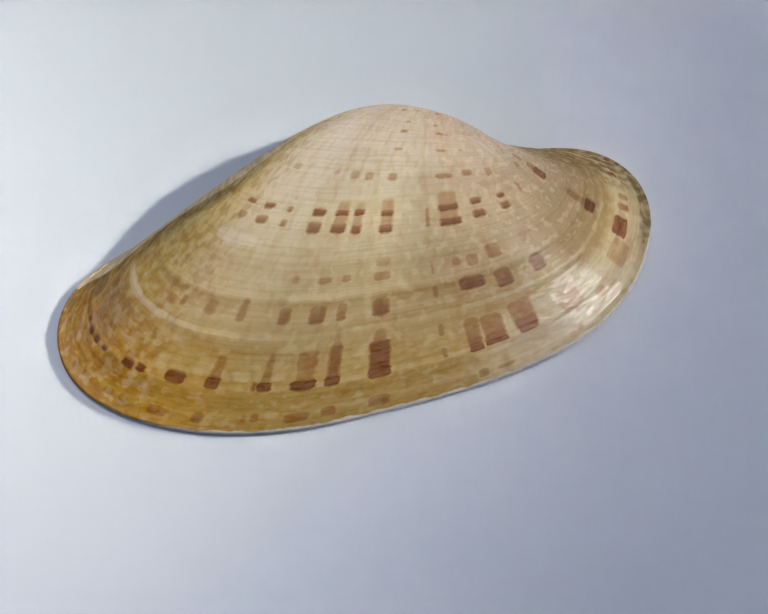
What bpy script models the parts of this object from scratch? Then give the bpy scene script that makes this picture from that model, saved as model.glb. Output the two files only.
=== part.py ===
"""One valve of a long clam shell, lying on its rim with the hollow side down.

A shell grows by adding to its edge, so the outer face here is its outline at every age: each ring
is the grown outline made smaller about the beak, curled up round the hinge axis and turned a
little towards the short end. The rim, the hinge plate and the inner face follow the same outline,
and the hinge teeth are joined to the plate.

The hinge axis lies along X, with the short front end at +X. The hinge side is +Y, and the valve
bulges up along +Z from its flat rim at Z = 0. The origin is under the middle of the valve.
Lengths are in millimetres until the mesh is made.
"""

import bmesh
import bpy
import numpy as np
from mathutils import Vector
from mathutils.bvhtree import BVHTree

MILLIMETRE = 0.001

# Outline of the grown valve, from the beak round the front end, the belly edge and the rear end
BEAK = (0.0, -0.8)
OUTLINE = (
    BEAK,
    (9.1, -4.2),
    (18.9, -5.3),
    (28.4, -7.4),
    (34.8, -13.6),
    (35.9, -22.3),
    (29.2, -36.1),
    (17.2, -44.6),
    (-0.7, -50.1),
    (-20.4, -53.0),
    (-38.8, -53.9),
    (-61.8, -47.8),
    (-72.1, -37.2),
    (-70.9, -24.7),
    (-49.0, -12.0),
    (-22.5, -4.1),
    BEAK,
)
KNOT_POWER = 0.7
OUTLINE_SAMPLES = 2000

# Growth: a stage of 1 is the grown valve, and a smaller stage is a younger edge
YOUNGEST_STAGE = 0.035
CURL = 0.955
CURL_POWER = 1.26
CURL_LIMIT = 3.44
TWIST = 0.205
TWIST_POWER = 1.08
TWIST_LIMIT = 0.48
YOUNG_FLATNESS = 0.10
GROWTH_STOPS = (0.716, 0.795, 0.914)
STOP_DROP = 0.22
STOP_FADE = 0.03
STOP_LEDGE = 0.006
STOP_FULL_FROM_HINGE = 20.0

# Rim: how far it stands out from the coloured face, and at what heights
RIM_HEIGHT = 1.25
RIM_BULGE = ((0.62, 0.85), (0.55, 0.30), (0.25, 0.0))
RIM_FLAT_WIDTH = 0.9

# Hinge plate inside the hinge side
PLATE_FRONT_REACH = 20.0
PLATE_REAR_REACH = 31.0
PLATE_WIDTH = 5.6
PLATE_EDGE = 0.6
PLATE_STEP = 0.35
PLATE_HEIGHT = 1.15
PLATE_RISE = 3.0
HINGE_SIDE_TURN = 0.25

# Inner face
WALL = 1.7
STEEPEST_ROOF = 0.45
HOLLOW_MIDDLE = (-17.0, -29.0)
HOLLOW_WALL_SLOPE = 2.1
EDGE_SLOPE = 0.2
LEAST_ROUNDING = 0.15
ROUNDING_GAIN = 0.22
MOST_ROUNDING = 2.2
HOLLOW_SMOOTHING = 6
ABOVE_ALL = 100.0
CROWN_LIFT = 0.1

# Mesh fineness
COLUMNS = 96
BEAK_CROWDING = 0.06
OUTWARD_SMOOTHING = 12
GROWTH_RINGS = 21
INNER_RINGS = 12
INNER_CROWDING = 1.35

# Hinge teeth: start, end, width at each end, how far the crest stays above the rim plane
TEETH = (
    ((1.4, -3.0), (4.9, -5.9), 0.55, 0.85, 0.35),
    ((-0.2, -3.3), (0.5, -7.0), 0.60, 1.25, 0.25),
    ((-1.9, -3.5), (-4.9, -7.1), 0.45, 0.65, 0.30),
    ((-2.9, -3.2), (-6.6, -6.4), 0.45, 0.65, 0.30),
    ((8.6, -6.1), (13.4, -7.4), 0.60, 0.70, 0.40),
    ((8.4, -8.2), (13.0, -9.2), 0.60, 0.70, 0.45),
    ((-4.4, -3.4), (-19.5, -6.6), 0.70, 1.10, 0.45),
)
TOOTH_ROOT_HEIGHT = 2.2
TOOTH_ROOT_FLARE = 1.5

# Finish
SHELL_COLOUR = (0.50, 0.36, 0.20, 1)
SHELL_ROUGHNESS = 0.3
SHARP_ANGLE = np.radians(40)


def clear_scene():
    for old in list(bpy.data.objects):
        bpy.data.objects.remove(old, do_unlink=True)


def natural_spline(points, sample_count):
    """Points along the smooth open curve through the given points."""
    points = np.array(points, float)
    chords = np.linalg.norm(np.diff(points, axis=0), axis=1)
    knots = np.concatenate(([0.0], np.cumsum(chords ** KNOT_POWER)))
    gaps = np.diff(knots)
    slopes = np.diff(points, axis=0) / gaps[:, None]
    last = len(points) - 1
    system = np.eye(last + 1)
    bends = np.zeros_like(points)
    for i in range(1, last):
        system[i, i - 1:i + 2] = gaps[i - 1], 2 * (gaps[i - 1] + gaps[i]), gaps[i]
        bends[i] = 6 * (slopes[i] - slopes[i - 1])
    bends = np.linalg.solve(system, bends)
    along = np.linspace(0, knots[-1], sample_count)
    span = np.clip(np.searchsorted(knots, along, side="right") - 1, 0, last - 1)
    gap = gaps[span][:, None]
    after = along[:, None] - knots[span][:, None]
    before = gap - after
    return (
        (bends[span] * before ** 3 + bends[span + 1] * after ** 3) / (6 * gap)
        + (points[span] / gap - bends[span] * gap / 6) * before
        + (points[span + 1] / gap - bends[span + 1] * gap / 6) * after
    )


def outline_columns():
    """The outline's points, one for each mesh column, and the outward direction at each."""
    curve = natural_spline(OUTLINE, OUTLINE_SAMPLES)
    steps = np.linalg.norm(np.diff(curve, axis=0), axis=1)
    length = np.concatenate(([0.0], np.cumsum(steps)))
    turn = np.arange(COLUMNS) / COLUMNS
    crowded = turn - BEAK_CROWDING * np.sin(2 * np.pi * turn)
    places = [np.interp(crowded * length[-1], length, curve[:, axis]) for axis in (0, 1)]
    points = np.stack(places, axis=1)
    along = np.roll(points, -1, axis=0) - np.roll(points, 1, axis=0)
    outward = np.stack((-along[:, 1], along[:, 0]), axis=1)
    for _ in range(OUTWARD_SMOOTHING):
        outward /= np.linalg.norm(outward, axis=1)[:, None]
        outward = outward / 2 + (np.roll(outward, 1, axis=0) + np.roll(outward, -1, axis=0)) / 4
    return points, outward / np.linalg.norm(outward, axis=1)[:, None]


def stop_drop(stage):
    """How much lower the face lies just outside each growth stop."""
    return sum(
        STOP_DROP * np.exp(-(stage - stop) / STOP_FADE)
        for stop in GROWTH_STOPS
        if stage > stop
    )


def growth_ring(outline, stage):
    """The valve's edge at one stage of growth."""
    age = -np.log(stage)
    curl = CURL_LIMIT * np.tanh(CURL * age ** CURL_POWER / CURL_LIMIT)
    x = stage * outline[:, 0]
    reach = stage ** (1 + YOUNG_FLATNESS) * outline[:, 1]
    y = reach * np.cos(curl)
    from_hinge = np.clip(-outline[:, 1] / STOP_FULL_FROM_HINGE, 0, 1)
    z = RIM_HEIGHT - reach * np.sin(curl) - stop_drop(stage) * from_hinge
    twist = -TWIST_LIMIT * np.tanh(TWIST * age ** TWIST_POWER / TWIST_LIMIT)
    return np.stack((
        x * np.cos(twist) - y * np.sin(twist),
        x * np.sin(twist) + y * np.cos(twist),
        z,
    ), axis=1)


def growth_stages():
    """Stages from the beak to the edge, with a pair at each growth stop."""
    stops = [value for stop in GROWTH_STOPS for value in (stop, stop + STOP_LEDGE)]
    even = np.geomspace(YOUNGEST_STAGE, 1.0, GROWTH_RINGS)
    clear = [stage for stage in even if min(abs(stage - stop) for stop in stops) > STOP_LEDGE]
    return sorted(clear + stops)


def flat_ring(outline, outward, offset, height):
    """The outline moved outwards by offset, at a height. Both may vary along it."""
    moved = outline + outward * np.reshape(offset, (-1, 1))
    heights = np.broadcast_to(height, len(outline))
    return np.column_stack((moved, heights))


def plate_share(outline):
    """1 at the beak, falling to 0 where the hinge plate ends on the hinge side."""
    x = outline[:, 0]
    reach = np.where(x > 0, PLATE_FRONT_REACH, PLATE_REAR_REACH)
    share = np.clip(1 - np.abs(x) / reach, 0, 1)
    turn = np.arange(COLUMNS) / COLUMNS
    hinge_side = np.minimum(turn, 1 - turn) < HINGE_SIDE_TURN
    return np.where(hinge_side, share * share * (3 - 2 * share), 0.0)


def base_rings(outline, outward):
    """The rim from its bulging side to its flat foot, and then the hinge plate."""
    share = plate_share(outline)
    level = PLATE_HEIGHT * np.clip(PLATE_RISE * share, 0, 1)
    rings = [flat_ring(outline, outward, offset, height) for offset, height in RIM_BULGE]
    rings.append(flat_ring(outline, outward, -RIM_FLAT_WIDTH, 0.0))
    rings.append(flat_ring(outline, outward, -RIM_FLAT_WIDTH - PLATE_STEP, level))
    plate_edge = RIM_FLAT_WIDTH + PLATE_EDGE + PLATE_WIDTH * share
    rings.append(flat_ring(outline, outward, -plate_edge, level))
    return rings


def ring_faces(ring_count):
    """Quads between neighbouring rings."""
    faces = []
    for ring in range(ring_count - 1):
        for column in range(COLUMNS):
            following = (column + 1) % COLUMNS
            low = ring * COLUMNS
            high = low + COLUMNS
            faces.append((low + column, low + following, high + following, high + column))
    return faces


def hollow_height(roof, place, plate_level, travelled):
    """The hollow's height at a place: under the outer face by the wall, and off the plate's edge."""
    above = Vector((place[0], place[1], ABOVE_ALL))
    hit, normal, _, _ = roof.ray_cast(above, Vector((0, 0, -1)))
    under_roof = hit.z - WALL / max(abs(normal.z), STEEPEST_ROOF)
    under_roof = max(under_roof, EDGE_SLOPE * travelled)
    off_plate = plate_level + HOLLOW_WALL_SLOPE * travelled
    rounding = min(LEAST_ROUNDING + ROUNDING_GAIN * travelled, MOST_ROUNDING)
    lower = np.exp(-under_roof / rounding) + np.exp(-off_plate / rounding)
    return -rounding * np.log(lower)


def inner_rings(plate_edge, outer_rings):
    """The hollow's face, from the plate's edge to the middle of the hollow."""
    skin = [Vector(point) for ring in outer_rings for point in ring]
    roof = BVHTree.FromPolygons(skin, ring_faces(len(outer_rings)))
    inward = (np.arange(INNER_RINGS) / INNER_RINGS) ** INNER_CROWDING
    to_middle = np.array(HOLLOW_MIDDLE) - plate_edge[:, :2]
    places = plate_edge[None, :, :2] + inward[:, None, None] * to_middle
    travelled = inward[:, None] * np.linalg.norm(to_middle, axis=1)
    heights = np.array([
        [
            hollow_height(roof, places[ring, column], plate_edge[column, 2], travelled[ring, column])
            for column in range(COLUMNS)
        ]
        for ring in range(INNER_RINGS)
    ])
    heights[0] = plate_edge[:, 2]
    for _ in range(HOLLOW_SMOOTHING):
        around = (np.roll(heights, 1, axis=1) + np.roll(heights, -1, axis=1)) / 2
        heights[1:] = (heights[1:] + around[1:]) / 2
    rings = np.concatenate((places, heights[:, :, None]), axis=2)
    return list(rings[1:])


def close_end(mesh, ring, lift=0.0):
    """Fill a ring with a fan round its middle, raised by lift."""
    middle = sum((vertex.co for vertex in ring), Vector()) / len(ring)
    centre = mesh.verts.new(middle + Vector((0, 0, lift)))
    for first, second in zip(ring, ring[1:] + ring[:1]):
        mesh.faces.new((first, second, centre))


def valve_mesh():
    """The whole valve as one closed skin, without its teeth."""
    outline, outward = outline_columns()
    outer = [growth_ring(outline, stage) for stage in growth_stages()]
    base = base_rings(outline, outward)
    rings = outer + base + inner_rings(base[-1], outer)
    mesh = bmesh.new()
    vertices = [mesh.verts.new(point) for ring in rings for point in ring]
    for face in ring_faces(len(rings)):
        mesh.faces.new([vertices[index] for index in face])
    close_end(mesh, vertices[:COLUMNS])
    close_end(mesh, vertices[-COLUMNS:], CROWN_LIFT)
    bmesh.ops.recalc_face_normals(mesh, faces=mesh.faces)
    return mesh


def add_tooth(mesh, start, end, start_width, end_width, crest_height):
    """A tapered ridge that stands down from the hinge plate."""
    start = np.array(start)
    end = np.array(end)
    across = np.array((start[1] - end[1], end[0] - start[0]))
    across = across / np.linalg.norm(across)
    loops = []
    for place, width in ((start, start_width), (end, end_width)):
        root = across * width * TOOTH_ROOT_FLARE / 2
        crest = across * width / 2
        loops.append([
            mesh.verts.new((*(place - root), TOOTH_ROOT_HEIGHT)),
            mesh.verts.new((*(place - crest), crest_height)),
            mesh.verts.new((*(place + crest), crest_height)),
            mesh.verts.new((*(place + root), TOOTH_ROOT_HEIGHT)),
        ])
    near, far = loops
    mesh.faces.new(near)
    mesh.faces.new(reversed(far))
    for corner in range(4):
        following = (corner + 1) % 4
        mesh.faces.new((near[following], near[corner], far[corner], far[following]))


def teeth_mesh():
    mesh = bmesh.new()
    for tooth in TEETH:
        add_tooth(mesh, *tooth)
    bmesh.ops.recalc_face_normals(mesh, faces=mesh.faces)
    return mesh


def middle_under(mesh):
    """The point under the middle of a mesh's box, on the rim plane."""
    corners = np.array([vertex.co for vertex in mesh.verts])
    middle = (corners.min(axis=0) + corners.max(axis=0)) / 2
    return Vector((middle[0], middle[1], 0))


def shell_material():
    material = bpy.data.materials.new("shell")
    material.use_nodes = True
    surface = material.node_tree.nodes["Principled BSDF"]
    surface.inputs["Base Color"].default_value = SHELL_COLOUR
    surface.inputs["Roughness"].default_value = SHELL_ROUGHNESS
    surface.inputs["Metallic"].default_value = 0.0
    return material


def make_object(name, mesh, origin):
    """An object from a millimetre mesh, moved so that origin is the world's origin."""
    bmesh.ops.translate(mesh, verts=mesh.verts, vec=-origin)
    bmesh.ops.scale(mesh, verts=mesh.verts, vec=(MILLIMETRE,) * 3)
    data = bpy.data.meshes.new(name)
    mesh.to_mesh(data)
    mesh.free()
    made = bpy.data.objects.new(name, data)
    bpy.context.scene.collection.objects.link(made)
    return made


def build():
    clear_scene()
    body = valve_mesh()
    origin = middle_under(body)
    valve = make_object("valve", body, origin)
    valve.data.materials.append(shell_material())
    valve.data.shade_smooth()
    valve.data.set_sharp_from_angle(angle=SHARP_ANGLE)

    teeth = make_object("hinge_teeth_form", teeth_mesh(), origin)
    teeth.hide_render = True
    teeth.display_type = "WIRE"
    union = valve.modifiers.new("hinge teeth", "BOOLEAN")
    union.operation = "UNION"
    union.solver = "EXACT"
    union.object = teeth


build()
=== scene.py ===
"""One valve of a long clam shell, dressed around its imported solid.

The outer face is grown as in the solid, ring by ring from the beak to the edge, but finely enough
for its growth ridges and checks. Every face corner keeps its turn, the share of the outline from
the beak round the front, belly and rear, and its stage, the share of the growth that is done.
The colours follow the two: bands lie at constant stage and rays at constant turn.
Lengths are in millimetres, in the beak's frame, until the mesh is placed.
"""

import bmesh
import bpy
import numpy as np
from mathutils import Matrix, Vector
from mathutils.bvhtree import BVHTree


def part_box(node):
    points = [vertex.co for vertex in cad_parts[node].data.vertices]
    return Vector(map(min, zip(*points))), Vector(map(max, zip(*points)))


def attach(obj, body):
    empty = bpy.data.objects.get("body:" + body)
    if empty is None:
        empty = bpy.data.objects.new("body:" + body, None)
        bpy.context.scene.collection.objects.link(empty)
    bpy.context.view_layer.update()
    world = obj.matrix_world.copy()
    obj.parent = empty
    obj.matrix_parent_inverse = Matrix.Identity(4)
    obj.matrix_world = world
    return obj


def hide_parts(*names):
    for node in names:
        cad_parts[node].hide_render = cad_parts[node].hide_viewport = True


MILLIMETRE = 0.001

# Outline of the grown valve, from the beak round the front end, the belly edge and the rear end
BEAK = (0.0, -0.8)
OUTLINE = (
    BEAK, (9.1, -4.2), (18.9, -5.3), (28.4, -7.4),
    (34.8, -13.6), (35.9, -22.3), (29.2, -36.1),
    (17.2, -44.6), (-0.7, -50.1), (-20.4, -53.0), (-38.8, -53.9), (-61.8, -47.8),
    (-72.1, -37.2), (-70.9, -24.7), (-49.0, -12.0), (-22.5, -4.1), BEAK,
)
KNOT_POWER = 0.7
OUTLINE_SAMPLES = 4000

# Growth, as in the solid
YOUNGEST_STAGE = 0.035
CURL = 0.955
CURL_POWER = 1.26
CURL_LIMIT = 3.44
TWIST = 0.205
TWIST_POWER = 1.08
TWIST_LIMIT = 0.48
YOUNG_FLATNESS = 0.10

# Growth checks: stage, and how far the face drops just outside it
GROWTH_CHECKS = (
    (0.405, 0.03), (0.470, 0.04), (0.548, 0.05), (0.585, 0.06), (0.640, 0.05), (0.690, 0.04),
    (0.716, 0.16), (0.755, 0.05), (0.795, 0.15), (0.845, 0.05), (0.872, 0.06), (0.914, 0.16),
    (0.935, 0.06), (0.957, 0.06), (0.978, 0.05),
)
CHECK_FADE = 0.03
CHECK_LEDGE = 0.006
CHECK_FULL_FROM_HINGE = 20.0

# Fine growth ridges: how many in the whole growth, height, how far they wander
RIDGES = ((15.0, 0.028, 0.9), (31.0, 0.009, 1.6), (53.0, 0.004, 2.3))
RIDGES_PER_WANDER = 3
# How they waver along the edge: waves in the whole turn and each one's share, and their reach
RIDGE_WAVES = ((2, 1.0), (5, 0.5))
RIDGE_WAVE_REACH = 0.25
# How their height swells: by what share, in how many waves, and how fast these drift with growth
RIDGE_SWELL = 0.25
RIDGE_SWELL_WAVES = 3
RIDGE_SWELL_DRIFT = 9
RIDGE_YOUNG_FADE = 0.25
RIDGE_EDGE_FADE = 0.01

# Rim: offset from the coloured face's edge, and height
RIM_HEIGHT = 1.25
RIM_PROFILE = (
    (0.24, 1.23), (0.42, 1.13), (0.54, 0.98), (0.61, 0.80), (0.61, 0.60), (0.56, 0.40),
    (0.47, 0.22), (0.36, 0.09), (0.22, 0.01), (0.05, 0.0), (-0.45, 0.0), (-0.90, 0.0),
)

# Hinge plate inside the hinge side
PLATE_FRONT_REACH = 20.0
PLATE_REAR_REACH = 31.0
PLATE_WIDTH = 5.6
PLATE_EDGE = 0.6
PLATE_STEP = 0.35
PLATE_STEP_LEVEL = 0.4
PLATE_HEIGHT = 1.15
PLATE_RISE = 3.0
HINGE_SIDE_TURN = 0.25
PLATE_RINGS = 6

# Inner face
WALL = 1.7
STEEPEST_ROOF = 0.45
HOLLOW_MIDDLE = (-17.0, -29.0)
HOLLOW_WALL_SLOPE = 2.1
EDGE_SLOPE = 0.2
LEAST_ROUNDING = 0.15
ROUNDING_GAIN = 0.22
MOST_ROUNDING = 2.2
HOLLOW_SMOOTHING = 66
ABOVE_ALL = 100.0
CROWN_LIFT = 0.02

# Marks on the inner face: where the two closing muscles and the mantle's edge were fixed
MUSCLE_SCARS = ((23.5, -17.5, 4.6, 6.4, 0.3), (-48.5, -27.0, 7.4, 5.6, -0.5))
SCAR_DEPTH = 0.10
SCAR_EDGE = 0.45
MANTLE_LINE_INSET = 8.0
MANTLE_LINE_START = 0.14
MANTLE_LINE_END = 0.72
MANTLE_LINE_FADE = 0.04
MANTLE_SINUS_TURN = 0.635
MANTLE_SINUS_WIDTH = 0.030
MANTLE_SINUS_DEPTH = 15.0
MANTLE_LINE_WIDTH = 0.7
MANTLE_LINE_DEPTH = 0.06
MANTLE_LINE_STRENGTH = 0.7

# Mesh fineness
COLUMNS = 320
BEAK_CROWDING = 0.06
OUTWARD_SMOOTHING = 130
YOUNG_RINGS = 16
YOUNG_UNTIL = 0.10
GROWTH_RINGS = 212
INNER_RINGS = 34
INNER_CROWDING = 1.35
SHARP_ANGLE = np.radians(40)

# Hinge teeth: start, end, width at each end, how far the crest stays above the rim plane
TEETH = (
    ((1.4, -3.0), (4.9, -5.9), 0.55, 0.85, 0.35),
    ((-0.2, -3.3), (0.5, -7.0), 0.60, 1.25, 0.25),
    ((-1.9, -3.5), (-4.9, -7.1), 0.45, 0.65, 0.30),
    ((-2.9, -3.2), (-6.6, -6.4), 0.45, 0.65, 0.30),
    ((8.6, -6.1), (13.4, -7.4), 0.60, 0.70, 0.40),
    ((8.4, -8.2), (13.0, -9.2), 0.60, 0.70, 0.45),
    ((-4.4, -3.4), (-19.5, -6.6), 0.70, 1.10, 0.45),
)
TOOTH_ROOT_HEIGHT = 2.2
TOOTH_FOOT_HEIGHT = 1.45
TOOTH_FOOT_FLARE = 1.35
TOOTH_STATIONS = 16
TOOTH_SIDES = 10
# The share of a tooth's length that each end rounds off over, and its width and depth there
TOOTH_END = 0.25
TOOTH_END_WIDTH = 0.45
TOOTH_END_DEPTH = 0.1

# Stages given to the faces past the coloured one
RIM_STAGE = 1.02
PLATE_STAGE = 1.2
HOLLOW_STAGE = 2.0

# Material slots of the mesh
OUTER_SLOT = 0
INNER_SLOT = 1

# Marks on the rays: the ray's turn, then its bars as from stage, to stage, width, darkness.
# Widths, also those of the edges, are in millimetres.
RAYS = (
    (.434, (
        (.205, .220, .8, .5), (.272, .283, .8, .5), (.306, .320, 1.1, .7), (.363, .374, 1.3, .5),
        (.433, .455, 1.5, .6), (.520, .541, 2.3, .9), (.553, .580, 2.4, .85), (.628, .656, 2.7, .25),
        (.662, .687, 2.8, .5), (.722, .770, 3.1, .75), (.795, .830, 2.4, .3), (.828, .897, 3.8, .75),
        (.895, .920, 4.1, 1.0), (.960, .993, 4.0, .6),
    )),
    (.470, (
        (.212, .232, .8, .5), (.428, .453, 1.4, .45), (.514, .535, 1.9, .9), (.548, .576, 1.8, .85),
        (.661, .681, 1.6, .45), (.721, .768, 1.6, .6), (.775, .818, 1.2, .25), (.818, .896, 2.2, .65),
        (.892, .917, 2.9, 1.0), (.962, .988, 2.7, .5),
    )),
    (.492, (
        (.425, .450, 1.6, .35), (.514, .535, 2.4, .9), (.545, .573, 2.7, .85), (.661, .681, 2.6, .4),
        (.722, .768, 2.8, .7), (.820, .864, 3.6, .45), (.864, .894, 3.2, .3), (.889, .917, 4.6, 1.0),
        (.964, .992, 4.5, .5),
    )),
    (.5215, (
        (.424, .442, 1.2, .3), (.514, .534, 2.4, .9), (.542, .573, 2.4, .8), (.657, .679, 1.5, .3),
        (.722, .766, 1.9, .65), (.820, .893, 1.3, .4), (.889, .913, 2.7, 1.0), (.958, .984, 1.4, .5),
    )),
    (.529, ((.886, .913, .8, .8), (.958, .984, .9, .4))),
    (.5605, (
        (.485, .505, .7, .25), (.515, .531, .9, .75), (.544, .563, 1.1, .7), (.708, .764, 1.3, .5),
        (.830, .888, 1.7, .5), (.883, .913, 2.5, 1.0), (.962, .990, 2.0, .6),
    )),
    (.589, (
        (.418, .437, 1.6, .3), (.513, .529, 2.0, .9), (.541, .563, 2.1, .75), (.722, .762, 2.2, .3),
        (.882, .913, 3.6, 1.0), (.964, .989, 3.4, .55),
    )),
    (.616, (
        (.513, .527, 1.7, .8), (.542, .560, 1.5, .55), (.636, .665, 1.1, .25), (.732, .762, .8, .5),
        (.894, .913, 1.8, .95), (.965, .986, 1.0, .5),
    )),
    (.6265, ((.742, .767, 2.0, .3), (.895, .917, 2.3, 1.0), (.965, .983, 2.0, .55))),
    (.649, ((.906, .920, 1.3, .9), (.970, .982, .8, .4))),
    (.659, (
        (.512, .527, 1.9, .6), (.860, .880, .8, .4), (.906, .925, 1.3, 1.0), (.978, .993, 1.0, .5),
    )),
    (.668, ((.870, .888, .8, .5), (.909, .926, 1.3, 1.0))),
    (.677, ((.840, .862, .8, .6), (.908, .922, 1.1, .8))),
    (.383, (
        (.523, .545, .5, .5), (.548, .575, .6, .65), (.655, .693, .5, .35), (.718, .751, .8, .5),
        (.815, .853, .8, .5), (.878, .912, .8, .55),
    )),
    (.366, ((.188, .222, 1.1, .4), (.272, .287, .9, .4))),
    (.355, (
        (.307, .321, 1.4, .6), (.366, .376, 2.0, .5), (.436, .455, 2.9, .65), (.518, .542, 3.7, .9),
        (.552, .580, 4.0, .9),
    )),
    (.358, (
        (.657, .684, 1.6, .35), (.818, .903, 2.6, .65), (.900, .918, 2.6, 1.0), (.966, .994, 1.8, .5),
    )),
    (.3415, (
        (.305, .320, .6, .4), (.657, .693, 2.0, .5), (.824, .901, 4.0, .7), (.898, .913, 4.2, 1.0),
        (.970, .990, 3.4, .3),
    )),
    (.3475, ((.712, .752, 4.8, .8),)),
    (.3175, (
        (.362, .374, .7, .3), (.430, .452, 1.8, .65), (.511, .536, 2.0, .8), (.546, .573, 2.4, .85),
        (.641, .688, 2.5, .5), (.713, .772, 3.1, .75),
    )),
    (.315, ((.811, .898, 4.4, .7), (.896, .913, 3.6, 1.0))),
    (.2815, (
        (.427, .461, 1.4, .35), (.514, .533, 1.5, .9), (.542, .568, 1.8, .8), (.637, .675, 1.2, .3),
        (.714, .768, 2.6, .75), (.971, .989, 1.1, .6),
    )),
    (.276, ((.838, .925, 4.6, .38),)), (.252, ((.913, .944, 2.4, .4),)),
    (.2495, ((.492, .540, .5, .5),)), (.241, ((.731, .741, .7, .5),)),
    (.2225, ((.430, .463, .5, .6),)), (.217, ((.866, .950, 5.0, .3),)),
    (.2025, ((.395, .450, 1.3, .35),)),
    (.198, ((.462, .505, 1.5, .5), (.500, .558, 2.0, 1.0), (.983, .995, .8, .7))),
    (.1945, ((.640, .732, 1.6, .45), (.724, .774, 2.6, .85))),
    (.1965, ((.848, .916, 4.0, 1.0),)), (.178, ((.862, .918, 1.3, .7),)),
    (.168, ((.872, .920, 1.2, .6),)), (.145, ((.866, .919, 1.2, .9),)),
    (.1235, ((.972, .998, 1.2, 1.0),)), (.434, ((.490, .570, 2.2, .40),)),
    (.4705, ((.495, .566, 1.6, .36),)), (.492, ((.494, .564, 2.3, .38),)),
    (.355, ((.482, .570, 3.5, .38),)),
)
# Cream patches, given as the marks are
CREAM_RAYS = (
    (.604, ((.584, .614, 8.0, .9),)), (.588, ((.590, .612, 5.0, .5),)),
    (.612, ((.781, .801, 8.0, .5),)), (.640, ((.781, .801, 8.0, .8),)),
    (.667, ((.779, .803, 6.0, 1.0),)), (.682, ((.782, .800, 2.5, .8),)),
    (.512, ((.868, .890, 2.6, .5),)), (.540, ((.866, .892, 3.0, .5),)),
    (.572, ((.846, .885, 3.2, .4),)), (.604, ((.852, .895, 2.2, .5),)),
)
OUTLINE_LENGTH = 263.0
WIDEST_MARK = 8.0
PALE_MARK_EDGE = 1.2
DARK_MARK_EDGE = 0.65
WIDEST_EDGE = 2.0
# Ends of a bar: the stages that each fades over, at most one of so many parts of the bar
BAR_START_SOFTNESS = 0.011
BAR_START_PARTS = 5
BAR_END_SOFTNESS = 0.006
BAR_END_PARTS = 6
BAR_START_DARKNESS = 0.75
BAR_CORNER_WIDTH = 0.45
TOUCHING_BARS = 0.006
JOINED_BAR_SOFTNESS = 0.004
BARS_PER_RAMP = 7

# Colours of the marks: cream patches mix in a share of cream, brown marks tint what is under.
# Where four numbers stand together, a value runs over the first two and the result over the rest.
CREAM_SHARE = 0.5
MARK_HALO = (0.77, 0.60, 0.46)
MARK_HALO_LEVELS = (0.02, 0.35)
MARK_CORE = (0.52, 0.29, 0.18)
MARK_CORE_LEVELS = ((0.45, 0.0), (0.80, 1.0), (1.0, 0.80))
MARK_STRENGTH = (0.2, 0.8, 1.06, 0.88)

# Ground colour between the marks, by stage
GROUND = (
    (0.10, (180, 165, 150)), (0.35, (200, 187, 171)), (0.55, (206, 190, 157)),
    (0.70, (188, 166, 123)), (0.80, (174, 148, 98)), (0.90, (171, 140, 75)),
    (1.00, (152, 121, 55)),
)
# Growth bands: stage, and tone from -1 for deep ochre to 1 for pale cream
BANDS = (
    (.30, 0), (.36, .3), (.41, -.1), (.47, -.1), (.50, .2), (.545, .4), (.568, 0), (.59, .3),
    (.625, -.1), (.65, -.4), (.685, .3), (.712, .5), (.720, -.7), (.737, -.3), (.755, .4), (.780, -.3),
    (.788, .5), (.797, .5), (.802, -.4), (.825, -.6), (.850, -.1), (.872, .2), (.888, -.2), (.900, .3),
    (.911, .4), (.918, -.4), (.937, -.9), (.953, -.2), (.967, .4), (.984, -.1),
)
BAND_CREAM = (228, 212, 178)
BAND_CREAM_SHARE = 0.45
BAND_OCHRE = (0.80, 0.71, 0.44)
HALF_TONE = 0.5

# Regions that differ from the ground: the turns and the stages between which each comes in, with
# its strengths where these aren't 0 and 1, and its tint. The middle, the front, the front's middle and
# the front end are darkened as painted shade, and the front slope below the beak as a painted shadow.
MIDDLE_SHADE = ((0.58, 0.50), ((0.84, 0.76),), (0.88, 0.84, 0.76))
FRONT_SHADE = ((0.48, 0.32), ((0.88, 0.74, 0.2, 1.0),), (0.86, 0.83, 0.81))
FRONT_MIDDLE_SHADE = ((0.45, 0.37), ((0.38, 0.50), (0.80, 0.70)), (0.86, 0.84, 0.81))
FRONT_END_SHADE = ((0.37, 0.25), ((0.84, 0.74),), (0.84, 0.86, 0.89))
FRONT_SLOPE_SHADOW = ((0.27, 0.21), ((0.74, 0.58),), (0.84, 0.84, 0.84))
# Painted light: the low rear is brightened
REAR_LOW_LIGHT = ((0.53, 0.59), ((0.70, 0.80),), (1.12, 1.13, 1.10))
GOLDEN = ((0.44, 0.60), ((0.74, 0.94),), (0.95, 0.87, 0.48))
REAR_MARGIN = ((0.55, 0.61), ((0.900, 0.925),), (0.88, 0.87, 0.32))
# The front margin, which takes cream, partly its own pale colour and partly a painted highlight, and
# the rear end and slope, which are tinted by turn alone: the rear end is brightened as painted light
# and warmed, the rear slope yellowed
FRONT_MARGIN_HIGHLIGHT = ((0.40, 0.31), ((0.80, 0.88),))
FRONT_MARGIN_CREAM_AND_HIGHLIGHT = 0.36
REAR_LIGHT_TURNS = (0.51, 0.63)
REAR_LIGHT_AND_WARMTH = (1.18, 1.10, 0.92)
REAR_SLOPE_TURNS = (0.60, 0.66)
REAR_SLOPE_TINT = (0.95, 0.87, 0.45)

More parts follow.
